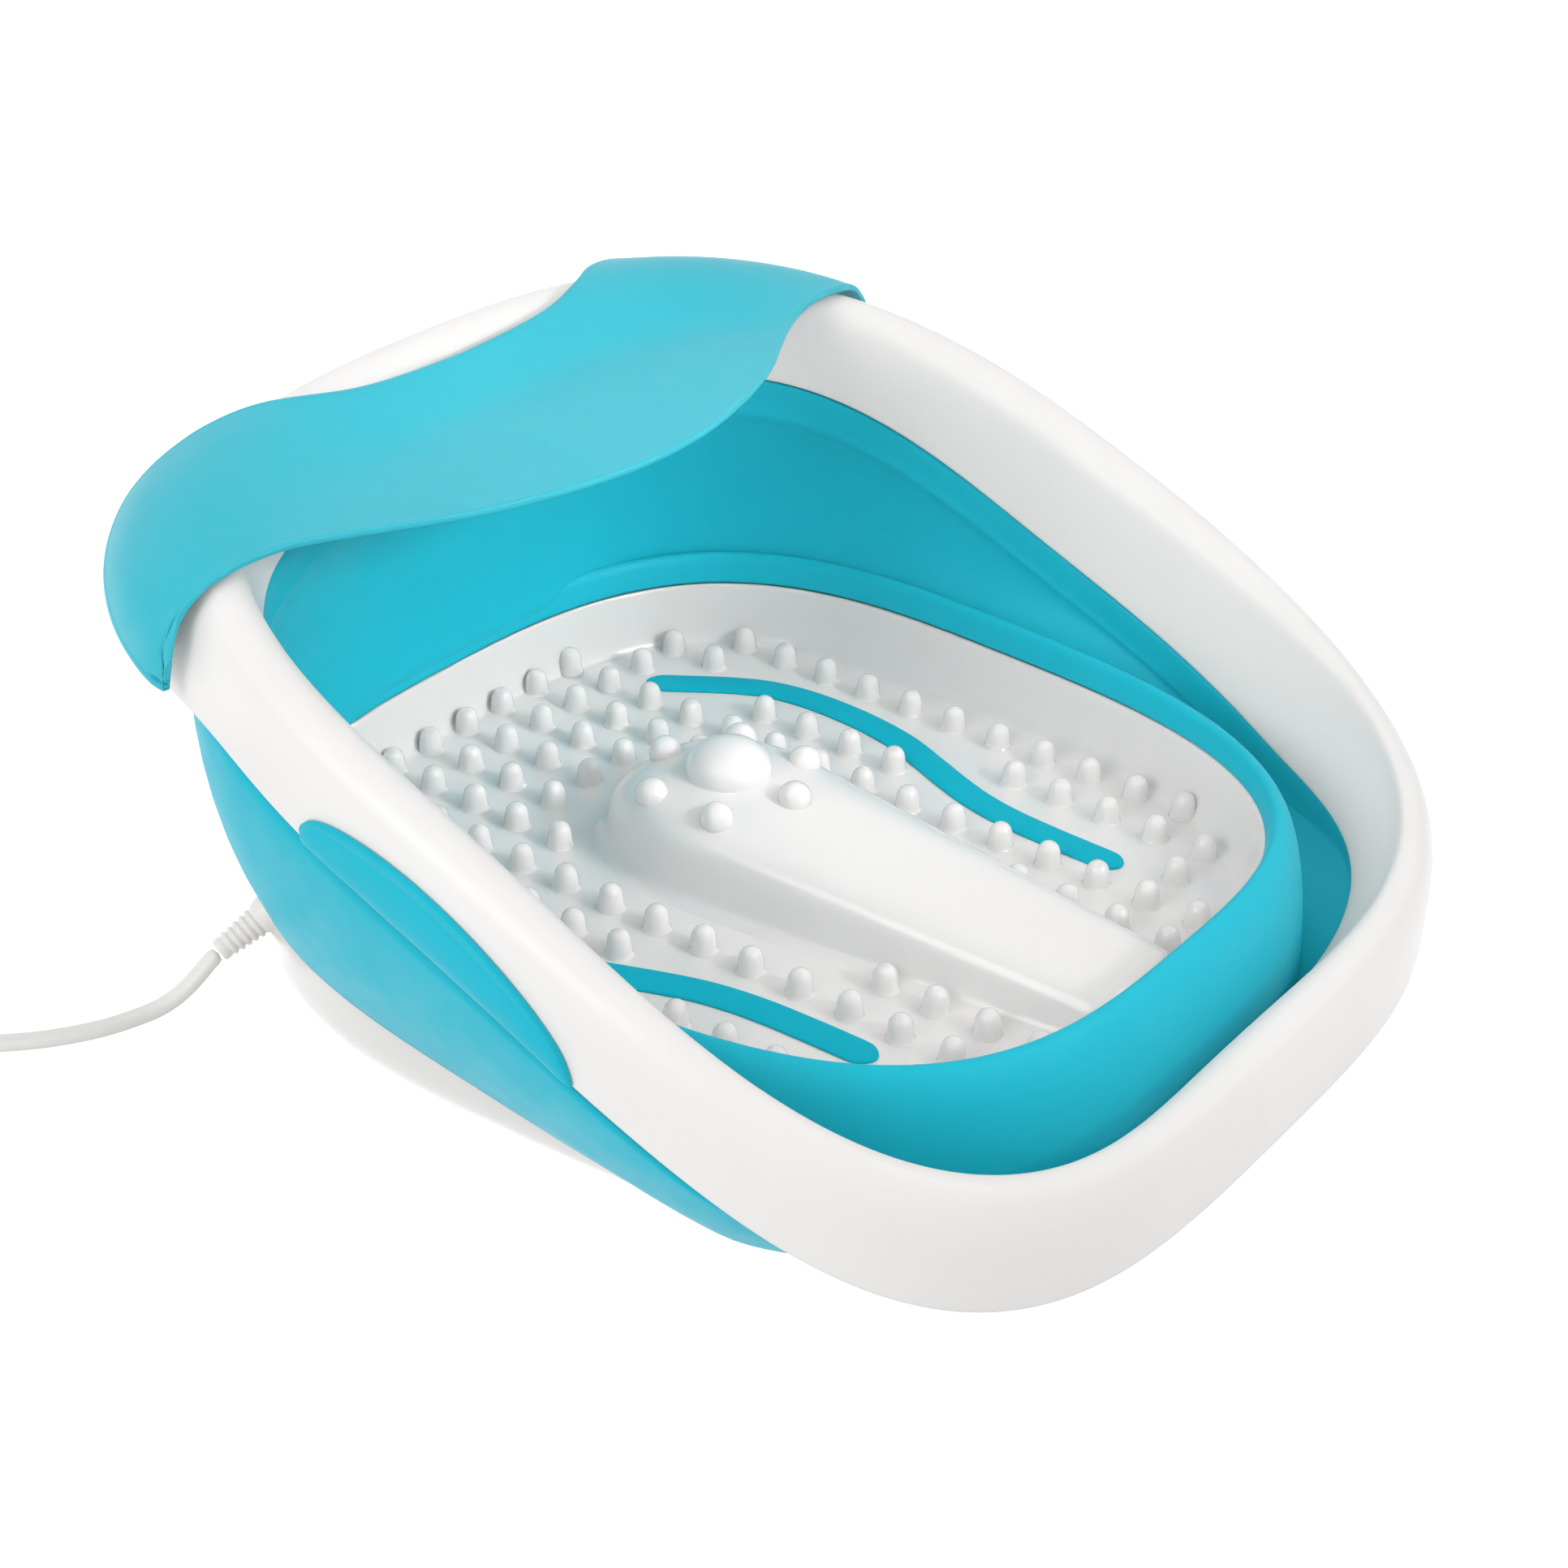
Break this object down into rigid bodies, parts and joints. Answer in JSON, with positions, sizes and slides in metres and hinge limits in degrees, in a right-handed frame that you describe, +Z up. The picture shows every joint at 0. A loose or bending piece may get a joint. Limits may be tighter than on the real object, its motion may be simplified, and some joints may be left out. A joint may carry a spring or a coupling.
{
  "type": "collapsible foot spa",
  "caption": "Collapsible foot spa: white basin with massage pegs and a toe button, turquoise folding wall, tilting white rim, lift-off splash guard and mains cord.",
  "frame": {"origin": "on the floor, in the middle of the object's box as seen from above, without its cord", "axes": "+Z up, +Y to the toe end with the splash guard, -Y to the low heel end, +X to the right with the toes ahead"},
  "size_m": [0.5822, 0.5414, 0.214],
  "materials": {
    "white_gloss": "glossy white ABS",
    "white_housing": "plain white housing plastic",
    "turquoise_soft": "satin turquoise thermoplastic elastomer",
    "turquoise_guard": "smooth turquoise plastic",
    "grey_rubber": "dull grey rubber",
    "cord_jacket": "satin white flexible vinyl",
    "plated_steel": "bright plated steel",
    "heater_aluminium": "rolled aluminium",
    "circuit_board": "green circuit board"
  },
  "bodies": {
    "base": {"base_shell": "white_gloss", "basin_tray": "white_gloss", "board_tower": "white_housing", "bottom_cover": "white_housing", "button_spring": "plated_steel", "collar_wall": "turquoise_soft", "control_board": "circuit_board", "cord": "cord_jacket", "cord_coil": "cord_jacket", "cord_tie": "grey_rubber", "cover_screw_1": "plated_steel", "cover_screw_2": "plated_steel", "cover_screw_3": "plated_steel", "cover_screw_4": "plated_steel", "folding_wall": "turquoise_soft", "foot_1": "grey_rubber", "foot_2": "grey_rubber", "foot_3": "grey_rubber", "foot_4": "grey_rubber", "heater_plate": "heater_aluminium", "motor_can": "plated_steel", "motor_saddle": "white_housing", "plug_blade_1": "plated_steel", "plug_blade_2": "plated_steel", "plug_body": "cord_jacket", "strain_relief": "cord_jacket", "strip_left": "turquoise_soft", "strip_right": "turquoise_soft", "tact_switch": "grey_rubber"},
    "rim": {"rim_shell": "white_gloss", "rim_clamp_ring": "white_housing", "grip_left": "turquoise_soft", "grip_right": "turquoise_soft"},
    "guard": {"splash_guard": "turquoise_guard"},
    "button": {"toe_button": "white_gloss"},
    "weight": {"motor_weight": "plated_steel"}
  },
  "joints": [
    {"name": "rim_fold", "type": "hinge", "parent": "base", "child": "rim", "pos_m": [0, -0.1555, 0.03], "axis": [-1, 0, 0], "range_deg": [0, 19], "deforming": ["folding_wall"]},
    {"name": "guard_lift", "type": "slide", "parent": "rim", "child": "guard", "axis": [0, 0, 1], "range_m": [0, 0.06]},
    {"name": "button_press", "type": "slide", "parent": "base", "child": "button", "axis": [0, 0, -1], "range_m": [0, 0.0025], "stiffness_N_per_m": 800, "springref_m": -0.002, "deforming": ["button_spring"]},
    {"name": "weight_spin", "type": "hinge", "parent": "base", "child": "weight", "pos_m": [-0.107, 0.02, 0.026], "axis": [1, 0, 0], "continuous": true}
  ]
}
